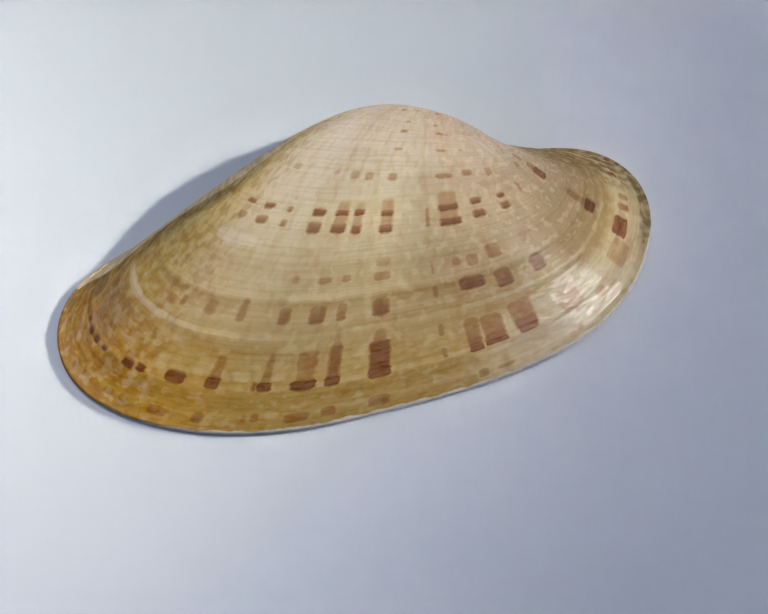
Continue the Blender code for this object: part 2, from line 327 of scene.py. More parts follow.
# Noise that runs with the growth: cells round the outline and along the growth, seed, detail.
# A pattern comes in between two levels of its noise, with a tint or a share of cream.
BAND_CELLS = (16, 9, 9.0, 2.0)
BAND_STRENGTH = (0.3, 0.7, 0.5, 1.2)
STREAKS = ((60, 3, 1.0, 2.0), (0.45, 0.72), (0.93, 0.88, 0.81))
BLOCKS = ((110, 30, 2.0, 1.0), (0.52, 0.64), (0.95, 0.90, 0.83))
MOSAIC_CELLS = (130, 42, 11.0, 1.0)
MOSAIC_TURNS = (0.57, 0.63)
DARK_CELL_LEVELS = (0.50, 0.58)
DARK_CELL_TINT = (0.88, 0.80, 0.70)
PALE_CELL_LEVELS = (0.45, 0.38)
PALE_CELL_CREAM = 0.18
PATCHES = ((95, 36, 3.0, 1.0), (0.52, 0.66), 0.12)
LINE_CELLS = (9, 130, 4.0, 2.0)
LINE_LEVELS = (0.42, 0.70)
LINE_TINT = (0.91, 0.88, 0.82)
# How far the bands and marks wander
NOISE_MIDDLE = 0.5
TURN_WANDER_CELLS = (230, 90, 5.0, 2.0)
TURN_WANDER = 0.0016
STAGE_WANDER_CELLS = (80, 40, 6.0, 2.0)
STAGE_WANDER = 0.0045

# Hinge side, given as the regions are: the olive front slope and the strip along its edge, the
# rear slope's blotches, and its dark line, which follows the pale band's edge
MOTTLE_CELLS = (150, 24, 10.0, 1.0)
MOTTLE_STRENGTH = (0.35, 0.62, 0.35, 1.0)
OLIVE_SLOPE = ((0.175, 0.135), ((0.30, 0.55),))
OLIVE_STRIP = ((0.215, 0.180), ((0.955, 0.975),))
OLIVE = (106, 84, 40)
OLIVE_SHARE = 0.92
BLOTCHES = ((0.638, 0.660), ((0.80, 0.83), (0.925, 0.900)))
BLOTCH_COLOUR = (136, 104, 70)
BLOTCH_SHARE = 0.6
DARK_LINE = ((-0.028, -0.008), ((0.35, 0.55),))
DARK_LINE_COLOUR = (128, 100, 46)
DARK_LINE_SHARE = 0.9
# Turn of the pale band's edge, and how far it shifts near the rim
PALE_BAND_EDGE = (0.38, 0.74, 0.654, 0.709)
PALE_BAND_EDGE_SHIFT = (0.86, 0.99, 0.0, 0.013)
PALE_BAND_SOFTNESS = (-0.001, 0.002)
PALE_BAND_END_TURNS = (0.99, 0.95)
PALE_BAND_SHARE = 0.9
STRIP_CELLS = (24, 46, 13.0, 2.0)
STRIP_LEVELS = (0.38, 0.62)
STRIP_COLOURS = ((242, 211, 162), (216, 182, 132))

# Pale rim: the stage it starts at, where it is thin too, and the turns between which it thins
RIM_COLOUR = (190, 182, 162)
RIM_START = 1.001
THIN_RIM_START = 1.009
THIN_RIM_TURNS = ((0.54, 0.66), (0.20, 0.16))
RIM_SOFTNESS = 0.002

# Gloss and relief of the outer face. A relief is a depth in metres and a strength.
WORN_ROUGHNESS = (0.86, 0.76, 0.20, 0.48)
POLISH_CELLS = (110, 90, 12.0, 1.0)
POLISH_ROUGHNESS = (0.42, 0.58, 0.0, 0.34)
FINE_CELLS = (26, 300, 7.0, 3.0)
FINE_RELIEF = (0.000018, 0.6)
CHIP_CELLS = (120, 80, 8.0, 1.0)
CHIP_RELIEF = (0.00017, 0.6)
OUTER_SURFACE = {"Specular IOR Level": 0.25, "Coat Weight": 0.08, "Coat Roughness": 0.10}

# Inner face: colours from the plate to the middle of the hollow, then its patterns and gloss
INNER_COLOURS = (
    (0.0, (222, 214, 198)), (0.25, (232, 226, 214)), (0.55, (236, 226, 212)),
    (0.80, (233, 212, 192)), (1.0, (229, 204, 182)),
)
CLOUD_CELLS = (14, 6, 1.0, 3.0)
CLOUD_LEVELS = (0.40, 0.75)
CLOUD_TINT = (0.95, 0.92, 0.86)
INNER_RAYS = ((120, 2, 2.0, 2.0), (0.45, 0.75), (0.97, 0.95, 0.92))
SCAR_COLOUR = (212, 197, 168)
SCAR_SHARE = 0.55
INNER_ROUGHNESS = (0.3, 0.7, 0.24, 0.36)
SCAR_ROUGHNESS_CHANGE = -0.10
GRAIN_CELLS = (90, 40, 3.0, 3.0)
GRAIN_RELIEF = (0.00005, 0.5)
INNER_SURFACE = {"Coat Weight": 0.25, "Coat Roughness": 0.18}

# Floor, in metres
FLOOR_REACH = 3.0
FLOOR_GAP = 0.00003
FLOOR_NOISE_SCALE = 6.0
FLOOR_NOISE_LEVELS = (0.3, 0.7)
FLOOR_COLOURS = ((192, 193, 193), (198, 199, 199))
FLOOR_SURFACE = {"Roughness": 0.30, "IOR": 2.1}

# Camera at the photograph's viewing angle: places in metres, angles in degrees
CAMERA_TARGET = (0.00383, -0.00847, 0.00125)
CAMERA_AZIMUTH = -7.8
CAMERA_ELEVATION = 65.0
CAMERA_DISTANCE = 0.4
CAMERA_LENS = 103.97
CAMERA_SENSOR = 36.0
CAMERA_NEAREST = 0.01

# Lights: azimuth, elevation and distance, the place lit, width and height, power, colour
KEY_LIGHT = ((93, 28, 2.0), (-0.26, 0.03, 0.0), (0.06, 0.06), 0.435, (1.0, 0.96, 0.90))
KEY_SPREAD = np.radians(9.9)
GLINT_LIGHT = ((76, 49, 0.7), (0.0, 0.0, 0.0), (0.22, 0.22), 5.2, (1.0, 0.98, 0.94))
SKY_LIGHT = ((220, 60, 1.2), (0.0, 0.0, 0.0), (0.45, 0.8), 3.0, (0.94, 0.97, 1.0))
WORLD_COLOUR = (0.45, 0.60, 1.0, 1.0)
WORLD_STRENGTH = 0.34


def natural_spline(points, sample_count):
    """Points along the smooth open curve through the given points."""
    points = np.array(points, float)
    chords = np.linalg.norm(np.diff(points, axis=0), axis=1)
    knots = np.concatenate(([0.0], np.cumsum(chords ** KNOT_POWER)))
    gaps = np.diff(knots)
    slopes = np.diff(points, axis=0) / gaps[:, None]
    last = len(points) - 1
    system = np.eye(last + 1)
    bends = np.zeros_like(points)
    for i in range(1, last):
        system[i, i - 1:i + 2] = gaps[i - 1], 2 * (gaps[i - 1] + gaps[i]), gaps[i]
        bends[i] = 6 * (slopes[i] - slopes[i - 1])
    bends = np.linalg.solve(system, bends)
    along = np.linspace(0, knots[-1], sample_count)
    span = np.clip(np.searchsorted(knots, along, side="right") - 1, 0, last - 1)
    gap = gaps[span][:, None]
    after = along[:, None] - knots[span][:, None]
    before = gap - after
    return (
        (bends[span] * before ** 3 + bends[span + 1] * after ** 3) / (6 * gap)
        + (points[span] / gap - bends[span] * gap / 6) * before
        + (points[span + 1] / gap - bends[span + 1] * gap / 6) * after
    )


def outline_columns():
    """Each mesh column's turn, its point on the outline and its outward direction there."""
    curve = natural_spline(OUTLINE, OUTLINE_SAMPLES)
    steps = np.linalg.norm(np.diff(curve, axis=0), axis=1)
    length = np.concatenate(([0.0], np.cumsum(steps)))
    even = np.arange(COLUMNS) / COLUMNS
    turn = even - BEAK_CROWDING * np.sin(2 * np.pi * even)
    places = [np.interp(turn * length[-1], length, curve[:, axis]) for axis in (0, 1)]
    points = np.stack(places, axis=1)
    along = np.roll(points, -1, axis=0) - np.roll(points, 1, axis=0)
    outward = np.stack((-along[:, 1], along[:, 0]), axis=1)
    for _ in range(OUTWARD_SMOOTHING):
        outward /= np.linalg.norm(outward, axis=1)[:, None]
        outward = outward / 2 + (np.roll(outward, 1, axis=0) + np.roll(outward, -1, axis=0)) / 4
    outward /= np.linalg.norm(outward, axis=1)[:, None]
    return turn, points, outward


def blended(start, end, share):
    return start + (end - start) * share


def smooth_step(values):
    """Eases from 0 to 1, and is level outside."""
    eased = np.clip(values, 0, 1)
    return eased * eased * (3 - 2 * eased)


def check_drop(stage):
    """How much lower the face lies outside the growth checks before this stage."""
    return sum(
        drop * smooth_step((stage - check) / CHECK_LEDGE) * np.exp(-(stage - check) / CHECK_FADE)
        for check, drop in GROWTH_CHECKS
        if stage > check
    )


def growth_ring(outline, stage):
    """The valve's edge at one stage of growth."""
    age = -np.log(stage)
    curl = CURL_LIMIT * np.tanh(CURL * age ** CURL_POWER / CURL_LIMIT)
    x = stage * outline[:, 0]
    reach = stage ** (1 + YOUNG_FLATNESS) * outline[:, 1]
    y = reach * np.cos(curl)
    from_hinge = np.clip(-outline[:, 1] / CHECK_FULL_FROM_HINGE, 0, 1)
    z = RIM_HEIGHT - reach * np.sin(curl) - check_drop(stage) * from_hinge
    twist = -TWIST_LIMIT * np.tanh(TWIST * age ** TWIST_POWER / TWIST_LIMIT)
    return np.stack((
        x * np.cos(twist) - y * np.sin(twist),
        x * np.sin(twist) + y * np.cos(twist),
        z,
    ), axis=1)


def growth_stages():
    """The stages of the mesh's rings, from the beak to the edge."""
    young = np.geomspace(YOUNGEST_STAGE, YOUNG_UNTIL, YOUNG_RINGS)
    return np.concatenate((young, np.linspace(YOUNG_UNTIL, 1.0, GROWTH_RINGS)[1:]))


def ridge_height(stages, turn):
    """Height of the fine growth ridges over the face, in millimetres."""
    stages = stages[:, None]
    circle = 2 * np.pi * turn[None, :]
    total = 0
    for count, height, wander in RIDGES:
        uneven = sum(
            share * np.sin(circle * waves + number * count)
            for number, (waves, share) in enumerate(RIDGE_WAVES, 1)
        )
        wandering = wander * np.sin(count * stages / RIDGES_PER_WANDER)
        phase = count * stages + wandering + RIDGE_WAVE_REACH * wander * uneven
        waves = np.sin(circle * RIDGE_SWELL_WAVES + count + RIDGE_SWELL_DRIFT * stages)
        swell = 1 - RIDGE_SWELL + RIDGE_SWELL * waves
        total = total + height * swell * np.sin(2 * np.pi * phase)
    young = smooth_step((stages - YOUNGEST_STAGE) / RIDGE_YOUNG_FADE)
    edge = smooth_step((1 - stages) / RIDGE_EDGE_FADE)
    return total * young * edge


def outer_rings(stages, turn, outline):
    """The coloured face with its growth ridges, as one array of rings."""
    face = np.array([growth_ring(outline, stage) for stage in stages])
    across = np.gradient(face, axis=0)
    along = np.roll(face, -1, axis=1) - np.roll(face, 1, axis=1)
    normal = np.cross(along, across)
    normal /= np.linalg.norm(normal, axis=2)[:, :, None]
    return face + normal * ridge_height(stages, turn)[:, :, None]


def flat_ring(outline, outward, offset, height):
    """The outline moved outwards by offset, at a height. Both may vary along it."""
    moved = outline + outward * np.reshape(offset, (-1, 1))
    return np.column_stack((moved, np.broadcast_to(height, len(outline))))


def plate_share(outline):
    """1 at the beak, falling to 0 where the hinge plate ends on the hinge side."""
    x = outline[:, 0]
    reach = np.where(x > 0, PLATE_FRONT_REACH, PLATE_REAR_REACH)
    even = np.arange(COLUMNS) / COLUMNS
    hinge_side = np.minimum(even, 1 - even) < HINGE_SIDE_TURN
    return np.where(hinge_side, smooth_step(1 - np.abs(x) / reach), 0.0)


def rim_rings(outline, outward):
    """The rim, from the coloured face's edge round to its flat foot."""
    return [flat_ring(outline, outward, offset, height) for offset, height in RIM_PROFILE]


def plate_rings(outline, outward):
    """The hinge plate, from the rim's foot to the edge of the hollow."""
    share = plate_share(outline)
    level = PLATE_HEIGHT * np.clip(PLATE_RISE * share, 0, 1)
    foot = -RIM_PROFILE[-1][0]
    start = foot + PLATE_STEP
    end = foot + PLATE_EDGE + PLATE_WIDTH * share
    step = flat_ring(outline, outward, -(foot + PLATE_STEP / 2), PLATE_STEP_LEVEL * level)
    insets = [blended(start, end, part) for part in np.linspace(0, 1, PLATE_RINGS)]
    return [step] + [flat_ring(outline, outward, -inset, level) for inset in insets]


def ring_faces(ring_count):
    """Quads between neighbouring rings, as vertex numbers."""
    ring, column = np.divmod(np.arange((ring_count - 1) * COLUMNS), COLUMNS)
    following = (column + 1) % COLUMNS
    low = ring * COLUMNS
    high = low + COLUMNS
    return np.stack((low + column, high + column, high + following, low + following), axis=1)


def roof_over(places, outer):
    """Height and slope of the coloured face above each place."""
    skin = [Vector(point) for point in outer.reshape(-1, 3)]
    roof = BVHTree.FromPolygons(skin, ring_faces(len(outer)).tolist())
    found = []
    for x, y in places.reshape(-1, 2):
        hit, normal, _, _ = roof.ray_cast(Vector((x, y, ABOVE_ALL)), Vector((0, 0, -1)))
        found.append((hit.z, abs(normal.z)))
    height, slope = np.array(found).T
    return height.reshape(places.shape[:2]), slope.reshape(places.shape[:2])


def muscle_scars(places):
    """1 inside the two muscle scars, falling to 0 across their edges."""
    inside = np.zeros(places.shape[:2])
    for x, y, long_way, short_way, tilt in MUSCLE_SCARS:
        away = places - np.array((x, y))
        along = away[:, :, 0] * np.cos(tilt) + away[:, :, 1] * np.sin(tilt)
        across = away[:, :, 1] * np.cos(tilt) - away[:, :, 0] * np.sin(tilt)
        far = np.hypot(along / long_way, across / short_way)
        inside = np.maximum(inside, smooth_step((1 - far) / SCAR_EDGE + 0.5))
    return inside


def mantle_line(turn, travelled):
    """1 on the line where the mantle was fixed, with its sinus at the rear, and 0 off it."""
    sinus = np.exp(-((turn - MANTLE_SINUS_TURN) / MANTLE_SINUS_WIDTH) ** 2)
    inset = MANTLE_LINE_INSET + MANTLE_SINUS_DEPTH * sinus
    start = smooth_step((turn - MANTLE_LINE_START) / MANTLE_LINE_FADE)
    end = smooth_step((MANTLE_LINE_END - turn) / MANTLE_LINE_FADE)
    off = np.abs(travelled - inset[None, :]) / MANTLE_LINE_WIDTH
    return smooth_step(1 - off) * (start * end)[None, :]


def hollow_rings(turn, plate_edge, outer):
    """The hollow's face from the plate's edge to its middle, and the marks on it."""
    inward = (np.arange(INNER_RINGS) / INNER_RINGS) ** INNER_CROWDING
    to_middle = np.array(HOLLOW_MIDDLE) - plate_edge[:, :2]
    places = plate_edge[None, :, :2] + inward[:, None, None] * to_middle
    travelled = inward[:, None] * np.linalg.norm(to_middle, axis=1)
    height, slope = roof_over(places, outer)
    under_roof = height - WALL / np.maximum(slope, STEEPEST_ROOF)
    under_roof = np.maximum(under_roof, EDGE_SLOPE * travelled)
    off_plate = plate_edge[:, 2] + HOLLOW_WALL_SLOPE * travelled
    rounding = np.minimum(LEAST_ROUNDING + ROUNDING_GAIN * travelled, MOST_ROUNDING)
    heights = -rounding * np.log(np.exp(-under_roof / rounding) + np.exp(-off_plate / rounding))
    heights[0] = plate_edge[:, 2]
    for _ in range(HOLLOW_SMOOTHING):
        around = (np.roll(heights, 1, axis=1) + np.roll(heights, -1, axis=1)) / 2
        heights[1:] = (heights[1:] + around[1:]) / 2
    scars = muscle_scars(places)
    line = mantle_line(turn, travelled)
    heights[1:] += (SCAR_DEPTH * scars + MANTLE_LINE_DEPTH * line)[1:]
    rings = np.concatenate((places, heights[:, :, None]), axis=2)
    return rings[1:], np.maximum(scars, MANTLE_LINE_STRENGTH * line)[1:]


def tooth_ring(place, across, width, depth):
    """A cross section of a tooth: a half ellipse that hangs from a root inside the plate."""
    half = width * TOOTH_FOOT_FLARE / 2
    angles = np.linspace(-np.pi / 2, np.pi / 2, TOOTH_SIDES)
    sideways = np.concatenate(([-half], half * np.sin(angles), [half]))
    heights = np.concatenate((
        [TOOTH_ROOT_HEIGHT],
        TOOTH_FOOT_HEIGHT - depth * np.cos(angles),
        [TOOTH_ROOT_HEIGHT],
    ))
    points = place[None, :] + across[None, :] * sideways[:, None]
    return np.column_stack((points, heights))


def tooth_rings(start, end, start_width, end_width, crest_height):
    """A tooth with rounded ends, as rings along it."""
    start = np.array(start)
    end = np.array(end)
    across = np.array((start[1] - end[1], end[0] - start[0]))
    across = across / np.linalg.norm(across)
    rings = []
    for part in np.linspace(0, 1, TOOTH_STATIONS):
        from_end = min(part, 1 - part) / TOOTH_END
        swell = np.sqrt(1 - (1 - min(from_end, 1)) ** 2)
        width = blended(start_width, end_width, part) * blended(TOOTH_END_WIDTH, 1, swell)
        depth = (TOOTH_FOOT_HEIGHT - crest_height) * blended(TOOTH_END_DEPTH, 1, swell)
        rings.append(tooth_ring(blended(start, end, part), across, width, depth))
    return rings


def teeth_object():
    """All the hinge teeth in one mesh, for joining to the plate."""
    mesh = bmesh.new()
    for tooth in TEETH:
        loops = [[mesh.verts.new(point) for point in ring] for ring in tooth_rings(*tooth)]
        for near, far in zip(loops, loops[1:]):
            for side in range(len(near)):
                following = (side + 1) % len(near)
                mesh.faces.new((near[side], near[following], far[following], far[side]))
        mesh.faces.new(loops[0])
        mesh.faces.new(loops[-1])
    bmesh.ops.recalc_face_normals(mesh, faces=mesh.faces)
    bmesh.ops.triangulate(mesh, faces=[face for face in mesh.faces if len(face.verts) > 4])
    data = bpy.data.meshes.new("hinge_teeth")
    mesh.to_mesh(data)
    mesh.free()
    corners = len(data.loops)
    add_corner_values(data, "turn", np.zeros(corners))
    add_corner_values(data, "stage", np.full(corners, PLATE_STAGE))
    add_corner_values(data, "scar", np.zeros(corners))
    slots = np.full(len(data.polygons), INNER_SLOT, np.int32)
    data.polygons.foreach_set("material_index", slots)
    return linked_object("hinge_teeth", data)


def linked_object(name, data):
    """A new object in the scene."""
    thing = bpy.data.objects.new(name, data)
    bpy.context.scene.collection.objects.link(thing)
    return thing


def add_corner_values(data, name, values):
    """A number kept at every face corner, for the materials to read."""
    layer = data.attributes.new(name, "FLOAT", "CORNER")
    layer.data.foreach_set("value", np.asarray(values, np.float32).ravel())


def closed_mesh(rings):
    """The rings as a mesh that is closed at the beak and the crown, and each corner's vertex."""
    quads = ring_faces(len(rings))
    column = np.arange(COLUMNS)
    following = (column + 1) % COLUMNS
    count = len(rings) * COLUMNS
    last = count - COLUMNS
    first_cap = np.column_stack((column, following, np.full(COLUMNS, count)))
    last_cap = np.column_stack((last + following, last + column, np.full(COLUMNS, count + 1)))
    beak_tip = rings[0].mean(axis=0)
    crown = rings[-1].mean(axis=0) + np.array((0, 0, CROWN_LIFT))
    points = np.concatenate((rings.reshape(-1, 3), [beak_tip, crown]))
    data = bpy.data.meshes.new("valve")
    data.from_pydata(points.tolist(), [], quads.tolist() + first_cap.tolist() + last_cap.tolist())
    return data, np.concatenate((quads.ravel(), first_cap.ravel(), last_cap.ravel()))


def corner_turns(turn, ring_count):
    """The turn at every face corner, in the order of the closed mesh's faces."""
    following = np.append(turn[1:], 1.0)
    quads = np.tile(np.stack((turn, turn, following, following), axis=1), (ring_count - 1, 1))
    first_cap = np.stack((turn, following, turn), axis=1)
    last_cap = np.stack((following, turn, turn), axis=1)
    return np.concatenate((quads.ravel(), first_cap.ravel(), last_cap.ravel()))


def face_slots(ring_count, coloured_rings):
    """The material slot of every face: the outer one up to the rim's foot and at the beak."""
    slots = np.full((ring_count + 1) * COLUMNS, INNER_SLOT, np.int32)
    slots[:coloured_rings * COLUMNS] = OUTER_SLOT
    slots[(ring_count - 1) * COLUMNS:ring_count * COLUMNS] = OUTER_SLOT
    return slots


def valve_object():
    """The whole valve as one closed skin, with its turn, stage and scar values."""
    turn, outline, outward = outline_columns()
    stages = growth_stages()
    outer = outer_rings(stages, turn, outline)
    rim = rim_rings(outline, outward)
    plate = plate_rings(outline, outward)
    hollow, marks = hollow_rings(turn, plate[-1], outer)
    rings = np.concatenate((outer, rim, plate, hollow))

    ring_stage = np.concatenate((
        stages,
        np.linspace(1.0, RIM_STAGE, len(rim) + 1)[1:],
        np.full(len(plate), PLATE_STAGE),
        HOLLOW_STAGE + np.arange(len(hollow)) / len(hollow),
    ))
    scar = np.zeros(rings.shape[:2])
    scar[-len(hollow):] = marks
    point_stage = np.concatenate((np.repeat(ring_stage, COLUMNS), [YOUNGEST_STAGE, ring_stage[-1]]))
    point_scar = np.concatenate((scar.ravel(), [0, 0]))

    data, corner_points = closed_mesh(rings)
    add_corner_values(data, "turn", corner_turns(turn, len(rings)))
    add_corner_values(data, "stage", point_stage[corner_points])
    add_corner_values(data, "scar", point_scar[corner_points])
    slots = face_slots(len(rings), len(outer) + len(rim) - 1)
    data.polygons.foreach_set("material_index", slots)
    return linked_object("clam_valve", data)


def join_teeth(valve, teeth):
    """Joins the teeth to the valve's plate."""
    union = valve.modifiers.new("hinge teeth", "BOOLEAN")
    union.operation = "UNION"
    union.solver = "EXACT"
    union.object = teeth
    whole = bpy.data.meshes.new_from_object(
        valve.evaluated_get(bpy.context.evaluated_depsgraph_get())
    )
    valve.modifiers.clear()
    valve.data = whole
    bpy.data.objects.remove(teeth)


def place_in_frame(valve):
    """Moves the millimetre mesh into the frame, inside the CAD valve's box."""
    low, high = (np.array(corner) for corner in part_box("valve"))
    points = np.zeros(len(valve.data.vertices) * 3, np.float32)
    valve.data.vertices.foreach_get("co", points)
    points = points.reshape(-1, 3).astype(float) * MILLIMETRE
    size = points.max(axis=0) - points.min(axis=0)
    points *= min(1.0, ((high - low) / size).min())
    middle = (points.max(axis=0) + points.min(axis=0)) / 2
    points += (low + high) / 2 - middle
    points[:, 2] += low[2] - points[:, 2].min()
    valve.data.vertices.foreach_set("co", points.astype(np.float32).ravel())
    valve.data.update()


def paint(red, green, blue):
    """A colour given by its screen values from 0 to 255, made linear by the sRGB formula."""
    shares = np.array((red, green, blue)) / 255
    linear = np.where(shares < 0.04045, shares / 12.92, ((shares + 0.055) / 1.055) ** 2.4)
    return (*linear, 1.0)


def grey(level):
    return (level, level, level, 1.0)


class Graph:
    """Short calls for wiring a material."""

    def __init__(self, name):
        self.material = bpy.data.materials.new(name)
        self.material.use_nodes = True
        self.nodes = self.material.node_tree.nodes
        self.links = self.material.node_tree.links
        self.surface = self.nodes["Principled BSDF"]

    def give(self, socket, value):
        """Links a socket to an output, or sets its plain value."""
        if isinstance(value, bpy.types.NodeSocket):
            self.links.new(value, socket)
        else:
            socket.default_value = value

    def node(self, kind, inputs=(), **settings):
        """A new node's outputs. Its inputs are (number or name, value) pairs."""
        node = self.nodes.new("ShaderNode" + kind)
        for name, value in settings.items():
            setattr(node, name, value)
        for socket, value in inputs:
            self.give(node.inputs[socket], value)
        return node.outputs

    def set_plainly(self, values):
        """Sets plain values on the shader's own sockets."""
        for name, value in values.items():
            self.surface.inputs[name].default_value = value

    def value(self, name):
        """The number kept at the face corners under a name."""
        return self.node("Attribute", attribute_name=name)["Fac"]

    def math(self, operation, *values, clamp=False):
        return self.node("Math", enumerate(values), operation=operation, use_clamp=clamp)[0]

    def times(self, first, second):
        return self.math("MULTIPLY", first, second)

    def between(self, value, low, high, *results):
        """Eased from 0 at low to 1 at high, or between two other results, and level outside."""
        inputs = enumerate((value, low, high, *results))
        return self.node("MapRange", inputs, interpolation_type="SMOOTHSTEP", clamp=False)[0]

    def mix(self, share, first, second, blend="MIX"):
        inputs = ((0, share), (6, first), (7, second))
        return self.node("Mix", inputs, data_type="RGBA", blend_type=blend)[2]

    def ramp(self, place, stops):
        """A colour that changes evenly between (place, colour) stops."""
        node = self.nodes.new("ShaderNodeValToRGB")
        elements = node.color_ramp.elements
        while len(elements) < len(stops):
            elements.new(1.0)
        for element, (position, colour) in zip(elements, stops):
            element.position = position
            element.color = colour
        self.give(node.inputs[0], place)
        return node.outputs[0]

    def noise(self, place, detail):
        inputs = (("Vector", place), ("Scale", 1.0), ("Detail", detail))
        return self.node("TexNoise", inputs)["Fac"]

    def bump(self, height, distance, strength, *under):
        """Relief of a depth in metres, laid over the relief under it if there is one."""
        inputs = (("Height", height), ("Distance", distance), ("Strength", strength))
        return self.node("Bump", (*inputs, *(("Normal", normal) for normal in under)))[0]


class ShellGraph(Graph):
    """A material on the valve, with the turn and the stage that its fields are worked out from."""

    def __init__(self, name):
        super().__init__(name)
        self.turn = self.value("turn")
        self.stage = self.value("stage")

    def growth_noise(self, around, along, seed, detail):
        """Noise in cells that run with the growth: so many round the outline and along it."""
        around = self.times(self.turn, around)
        along = self.times(self.stage, along)
        place = self.node("CombineXYZ", enumerate((around, along, seed)))[0]
        return self.noise(place, detail)

    def region(self, turns, stages, across=None):
        """1 where the turn, or what runs across, and the stage are past all of their spans."""
        inside = self.between(across or self.turn, *turns)
        for span in stages:
            inside = self.times(inside, self.between(self.stage, *span))
        return inside


def ray_marks(graph, rays):
    """How strongly each place is marked, from 0 between the marks to 1 in the strongest."""
    marked = 0.0
    millimetres = graph.times(graph.stage, OUTLINE_LENGTH)
    for ray_turn, bars in rays:
        aside = graph.math("ABSOLUTE", graph.math("SUBTRACT", graph.turn, ray_turn))
        aside = graph.times(aside, millimetres)
        for some in shared_out(bars):
            level, width, edge = bar_levels(graph, some)
            inside = graph.math("SUBTRACT", graph.times(width, WIDEST_MARK / 2), aside)
            outermost = graph.times(edge, -WIDEST_EDGE / 2)
            innermost = graph.times(edge, WIDEST_EDGE / 2)
            across = graph.between(inside, outermost, innermost)
            marked = graph.math("MAXIMUM", marked, graph.times(level, across))
    return marked


def touching(bar, following):
    """Whether a bar reaches the next one on its ray."""
    return following[0] - bar[1] < TOUCHING_BARS


def shared_out(bars):
    """A ray's bars in lists short enough for a colour ramp, with touching bars kept together."""
    lists = [[bars[0]]]
    for bar, following in zip(bars, bars[1:]):
        if len(lists[-1]) >= BARS_PER_RAMP and not touching(bar, following):
            lists.append([])
        lists[-1].append(following)
    return lists


def bar_levels(graph, bars):
    """Darkness, width share and edge share of a ray's bars at a stage. Touching bars join up."""
    stops = []
    for number, (start, end, width, darkness) in enumerate(bars):
        fade_in = min(BAR_START_SOFTNESS, (end - start) / BAR_START_PARTS)
        fade_out = min(BAR_END_SOFTNESS, (end - start) / BAR_END_PARTS)
        share = width / WIDEST_MARK
        edge = blended(PALE_MARK_EDGE, DARK_MARK_EDGE, darkness) / WIDEST_EDGE
        if number and touching(bars[number - 1], bars[number]):
            stops.append((start + JOINED_BAR_SOFTNESS, (darkness, share, edge, 1)))
        else:
            stops.append((start, (0, BAR_CORNER_WIDTH * share, edge, 1)))
            stops.append((start + fade_in, (BAR_START_DARKNESS * darkness, share, edge, 1)))
        stops.append((end - fade_out, (darkness, share, edge, 1)))
        if number == len(bars) - 1 or not touching(bars[number], bars[number + 1]):
            stops.append((end, (0, BAR_CORNER_WIDTH * share, edge, 1)))
    # The ramp is made before the node that splits it, because in the other order the renderer has
    # to keep the channels of all the ramps at once
    levels = graph.ramp(graph.stage, stops)
    return graph.node("SeparateColor", ((0, levels),))


def wandered(graph, value, cells, reach):
    """A value moved to and fro by noise, by up to reach."""
    push = graph.math("SUBTRACT", graph.growth_noise(*cells), NOISE_MIDDLE)
    return graph.math("MULTIPLY_ADD", push, 2 * reach, value)


def shade(graph, colour, field, low, high, tint):
    """Multiplies a colour by a tint where a field runs from low to high."""
    return graph.mix(graph.between(field, low, high), colour, (*tint, 1.0), "MULTIPLY")


def cover(graph, colour, field, share, over):
    """Mixes up to a share of a second colour into a colour, as far as a field says."""
    return graph.mix(graph.times(field, share), colour, over)


def lighten(graph, colour, field, low, high, share):
    """Mixes a share of cream into a colour where a field runs from low to high."""
    return cover(graph, colour, graph.between(field, low, high), share, paint(*BAND_CREAM))


def tint_region(graph, colour, turns, stages, tint):
    """Multiplies a colour by a tint in a region."""
    return shade(graph, colour, graph.region(turns, stages), 0.0, 1.0, tint)


def banded_ground(graph):
    """The ground colour with its growth bands, which come and go along the growth lines."""
    colour = graph.ramp(graph.stage, [(place, paint(*screen)) for place, screen in GROUND])
    tone = graph.ramp(graph.stage, [(place, grey((1 + tone) / 2)) for place, tone in BANDS])
    uneven = graph.growth_noise(*BAND_CELLS)
    strength = graph.between(uneven, *BAND_STRENGTH)
    tone = graph.times(graph.math("SUBTRACT", tone, HALF_TONE), strength)
    colour = lighten(graph, colour, tone, 0.0, HALF_TONE, BAND_CREAM_SHARE)
    return shade(graph, colour, tone, 0.0, -HALF_TONE, BAND_OCHRE)


def tinted_ground(graph):
    """The banded ground with the regions that differ from it: painted shade over the middle and the
    front, a painted shadow on the front slope, cream and a painted highlight on the front margin,
    and painted light on the rear.
    """
    colour = banded_ground(graph)
    # Painted shade: the middle, the front and the front's middle are darkened
    for tinted in (MIDDLE_SHADE, FRONT_SHADE, FRONT_MIDDLE_SHADE):
        colour = tint_region(graph, colour, *tinted)
    # Cream over the front margin, partly a painted highlight
    cream_and_highlight = graph.region(*FRONT_MARGIN_HIGHLIGHT)
    colour = lighten(graph, colour, cream_and_highlight, 0.0, 1.0, FRONT_MARGIN_CREAM_AND_HIGHLIGHT)
    # Painted shade on the front end, and a painted shadow on the front slope below the beak
    for tinted in (FRONT_END_SHADE, FRONT_SLOPE_SHADOW):
        colour = tint_region(graph, colour, *tinted)
    # Painted light: the rear end is brightened, and warmed
    colour = shade(graph, colour, graph.turn, *REAR_LIGHT_TURNS, REAR_LIGHT_AND_WARMTH)
    colour = shade(graph, colour, graph.turn, *REAR_SLOPE_TURNS, REAR_SLOPE_TINT)
    # Painted light on the low rear; the golden region and the rear margin are the shell's colour
    for tinted in (REAR_LOW_LIGHT, GOLDEN, REAR_MARGIN):
        colour = tint_region(graph, colour, *tinted)
    return colour


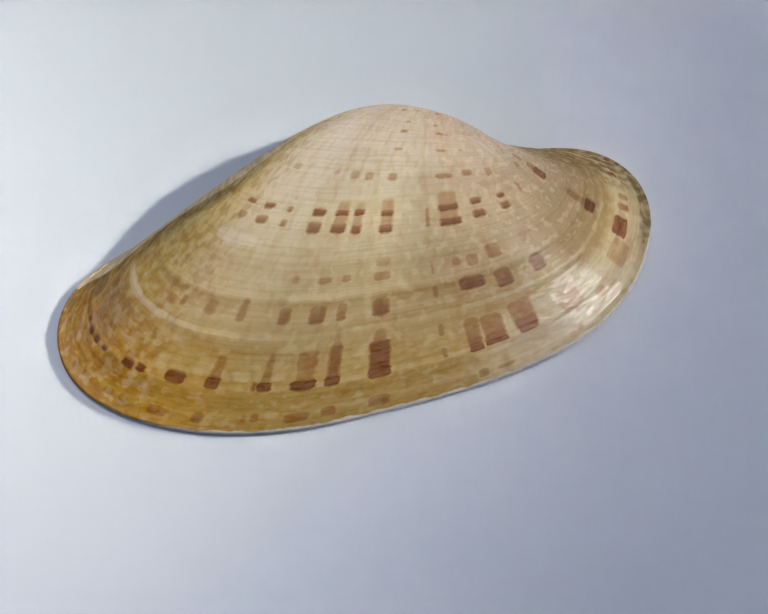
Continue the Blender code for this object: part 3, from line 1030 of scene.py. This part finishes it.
def patterned(graph, colour):
    """A colour with streaks, blocks, the mosaic of the rear end and pale patches."""
    for cells, levels, tint in (STREAKS, BLOCKS):
        colour = shade(graph, colour, graph.growth_noise(*cells), *levels, tint)
    mosaic = graph.growth_noise(*MOSAIC_CELLS)
    rear = graph.between(graph.turn, *MOSAIC_TURNS)
    dark_cells = graph.times(graph.between(mosaic, *DARK_CELL_LEVELS), rear)
    colour = shade(graph, colour, dark_cells, 0.0, 1.0, DARK_CELL_TINT)
    pale_cells = graph.times(graph.between(mosaic, *PALE_CELL_LEVELS), rear)
    colour = lighten(graph, colour, pale_cells, 0.0, 1.0, PALE_CELL_CREAM)
    cells, levels, share = PATCHES
    return lighten(graph, colour, graph.growth_noise(*cells), *levels, share)


def marked_colour(graph, colour, lines):
    """A colour with the cream patches and the brown marks, which fade on the growth lines."""
    cream = ray_marks(graph, CREAM_RAYS)
    colour = lighten(graph, colour, cream, 0.0, 1.0, CREAM_SHARE)
    marked = ray_marks(graph, RAYS)
    marked = graph.times(marked, graph.between(lines, *MARK_STRENGTH))
    colour = shade(graph, colour, marked, *MARK_HALO_LEVELS, MARK_HALO)
    core = graph.ramp(marked, [(place, grey(level)) for place, level in MARK_CORE_LEVELS])
    return graph.mix(core, colour, (*MARK_CORE, 1.0), "MULTIPLY")


def outer_colour(graph):
    """The ground with its patterns, the marks, the growth lines, both hinge sides and the rim."""
    colour = patterned(graph, tinted_ground(graph))
    lines = graph.growth_noise(*LINE_CELLS)
    colour = marked_colour(graph, colour, lines)
    colour = hinge_side_colours(graph, colour)
    colour = shade(graph, colour, lines, *LINE_LEVELS, LINE_TINT)
    thin = graph.math("ADD", *(graph.between(graph.turn, *turns) for turns in THIN_RIM_TURNS))
    start = graph.math("MULTIPLY_ADD", thin, THIN_RIM_START - RIM_START, RIM_START)
    rim = graph.between(graph.math("SUBTRACT", graph.stage, start), 0.0, RIM_SOFTNESS)
    return graph.mix(rim, colour, paint(*RIM_COLOUR))


def hinge_side_colours(graph, colour):
    """The olive front slope, and the blotches, dark line and pale band along the rear slope."""
    patches = graph.growth_noise(*MOTTLE_CELLS)
    mottle = graph.between(patches, *MOTTLE_STRENGTH)

    slope = graph.region(*OLIVE_SLOPE)
    strip = graph.region(*OLIVE_STRIP)
    olive = graph.times(graph.math("MAXIMUM", slope, strip), mottle)
    colour = cover(graph, colour, olive, OLIVE_SHARE, paint(*OLIVE))

    blotches = graph.times(graph.region(*BLOTCHES), mottle)
    colour = cover(graph, colour, blotches, BLOTCH_SHARE, paint(*BLOTCH_COLOUR))

    edge = graph.between(graph.stage, *PALE_BAND_EDGE)
    edge = graph.math("ADD", edge, graph.between(graph.stage, *PALE_BAND_EDGE_SHIFT))
    past_edge = graph.math("SUBTRACT", graph.turn, edge)
    line = graph.times(graph.region(*DARK_LINE, past_edge), mottle)
    colour = cover(graph, colour, line, DARK_LINE_SHARE, paint(*DARK_LINE_COLOUR))

    band = graph.between(past_edge, *PALE_BAND_SOFTNESS)
    band = graph.times(band, graph.between(graph.turn, *PALE_BAND_END_TURNS))
    strips = graph.growth_noise(*STRIP_CELLS)
    first, second = (paint(*screen) for screen in STRIP_COLOURS)
    pale = graph.mix(graph.between(strips, *STRIP_LEVELS), first, second)
    return cover(graph, colour, band, PALE_BAND_SHARE, pale)


def outer_material():
    """The coloured outer face: glossy near the edge and duller towards the beak."""
    graph = ShellGraph("outer_shell")
    turn, stage = graph.turn, graph.stage
    turn_there = wandered(graph, turn, TURN_WANDER_CELLS, TURN_WANDER)
    stage_there = wandered(graph, stage, STAGE_WANDER_CELLS, STAGE_WANDER)
    graph.turn, graph.stage = turn_there, stage_there
    graph.give(graph.surface.inputs["Base Color"], outer_colour(graph))

    graph.turn, graph.stage = turn, stage
    fine = graph.growth_noise(*FINE_CELLS)
    worn = graph.between(stage, *WORN_ROUGHNESS)
    polished = graph.growth_noise(*POLISH_CELLS)
    dull = graph.between(polished, *POLISH_ROUGHNESS)
    graph.give(graph.surface.inputs["Roughness"], graph.math("ADD", worn, dull))
    bump = graph.bump(fine, *FINE_RELIEF)
    bump = graph.bump(graph.growth_noise(*CHIP_CELLS), *CHIP_RELIEF, bump)
    graph.give(graph.surface.inputs["Normal"], bump)
    graph.give(graph.surface.inputs["Coat Normal"], bump)
    graph.set_plainly(OUTER_SURFACE)
    return graph.material


def inner_material():
    """The smooth white inner face, warmer under the beak, with shinier scars."""
    graph = ShellGraph("inner_shell")
    scar = graph.value("scar")
    depth = graph.math("SUBTRACT", graph.stage, HOLLOW_STAGE, clamp=True)
    colour = graph.ramp(depth, [(place, paint(*screen)) for place, screen in INNER_COLOURS])
    clouds = graph.growth_noise(*CLOUD_CELLS)
    colour = shade(graph, colour, clouds, *CLOUD_LEVELS, CLOUD_TINT)
    cells, levels, tint = INNER_RAYS
    colour = shade(graph, colour, graph.growth_noise(*cells), *levels, tint)
    colour = cover(graph, colour, scar, SCAR_SHARE, paint(*SCAR_COLOUR))
    graph.give(graph.surface.inputs["Base Color"], colour)

    gloss = graph.between(clouds, *INNER_ROUGHNESS)
    roughness = graph.math("MULTIPLY_ADD", scar, SCAR_ROUGHNESS_CHANGE, gloss)
    graph.give(graph.surface.inputs["Roughness"], roughness)
    grain = graph.growth_noise(*GRAIN_CELLS)
    graph.give(graph.surface.inputs["Normal"], graph.bump(grain, *GRAIN_RELIEF))
    graph.set_plainly(INNER_SURFACE)
    return graph.material


def floor_material():
    """A plain pale floor, barely clouded."""
    graph = Graph("floor")
    place = graph.node("TexCoord")["Object"]
    clouds = graph.node("TexNoise", (("Vector", place), ("Scale", FLOOR_NOISE_SCALE)))["Fac"]
    first, second = (paint(*screen) for screen in FLOOR_COLOURS)
    share = graph.between(clouds, *FLOOR_NOISE_LEVELS)
    graph.give(graph.surface.inputs["Base Color"], graph.mix(share, first, second))
    graph.set_plainly(FLOOR_SURFACE)
    return graph.material


def make_valve():
    """The dressed valve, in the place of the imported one."""
    valve = valve_object()
    teeth = teeth_object()
    for material in (outer_material(), inner_material()):
        valve.data.materials.append(material)
        teeth.data.materials.append(material)
    join_teeth(valve, teeth)
    place_in_frame(valve)
    valve.data.name = "clam_valve"
    valve.data.shade_smooth()
    valve.data.set_sharp_from_angle(angle=SHARP_ANGLE)
    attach(valve, "root")
    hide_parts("valve")


def make_floor():
    corners = [(-1, -1), (1, -1), (1, 1), (-1, 1)]
    data = bpy.data.meshes.new("floor")
    data.from_pydata(
        [(x * FLOOR_REACH, y * FLOOR_REACH, 0) for x, y in corners], [], [(0, 1, 2, 3)],
    )
    data.materials.append(floor_material())
    floor = linked_object("floor", data)
    floor.location.z = -FLOOR_GAP


def direction(azimuth, elevation):
    """Unit vector towards a place: azimuth 0 is in front, 90 to the right, in degrees."""
    azimuth = np.radians(azimuth)
    elevation = np.radians(elevation)
    return Vector((
        np.sin(azimuth) * np.cos(elevation),
        -np.cos(azimuth) * np.cos(elevation),
        np.sin(elevation),
    ))


def make_camera():
    data = bpy.data.cameras.new("camera")
    data.sensor_width = CAMERA_SENSOR
    data.lens = CAMERA_LENS
    data.clip_start = CAMERA_NEAREST
    camera = linked_object("camera", data)
    towards = direction(CAMERA_AZIMUTH, CAMERA_ELEVATION)
    camera.location = Vector(CAMERA_TARGET) + CAMERA_DISTANCE * towards
    camera.rotation_euler = towards.to_track_quat("Z", "Y").to_euler()
    bpy.context.scene.camera = camera


def area_light(name, place, target, size, power, colour):
    """A rectangular lamp at a direction and distance, turned to the place it lights."""
    azimuth, elevation, distance = place
    data = bpy.data.lights.new(name, "AREA")
    data.shape = "RECTANGLE"
    data.size, data.size_y = size
    data.energy = power
    data.color = colour
    light = linked_object(name, data)
    light.location = distance * direction(azimuth, elevation)
    towards = light.location - Vector(target)
    light.rotation_euler = towards.to_track_quat("Z", "Y").to_euler()
    return light


def make_lights():
    """The key throws the shadow, the glint shows only in reflections, the sky softens."""
    key = area_light("key", *KEY_LIGHT)
    key.data.spread = KEY_SPREAD
    key.visible_glossy = False
    glint = area_light("glint", *GLINT_LIGHT)
    glint.visible_diffuse = False
    area_light("sky", *SKY_LIGHT)


def make_world():
    world = bpy.data.worlds.new("studio")
    world.use_nodes = True
    background = world.node_tree.nodes["Background"]
    background.inputs["Color"].default_value = WORLD_COLOUR
    background.inputs["Strength"].default_value = WORLD_STRENGTH
    bpy.context.scene.world = world
    bpy.context.scene.view_settings.view_transform = "Standard"


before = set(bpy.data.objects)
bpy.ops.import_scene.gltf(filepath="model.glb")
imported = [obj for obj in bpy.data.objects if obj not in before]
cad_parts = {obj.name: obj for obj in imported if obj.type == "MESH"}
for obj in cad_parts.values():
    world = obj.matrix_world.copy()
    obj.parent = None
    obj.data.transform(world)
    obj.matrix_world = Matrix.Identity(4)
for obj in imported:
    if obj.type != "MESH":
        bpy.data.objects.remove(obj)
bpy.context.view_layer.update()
make_camera()
make_valve()
make_floor()
make_lights()
make_world()
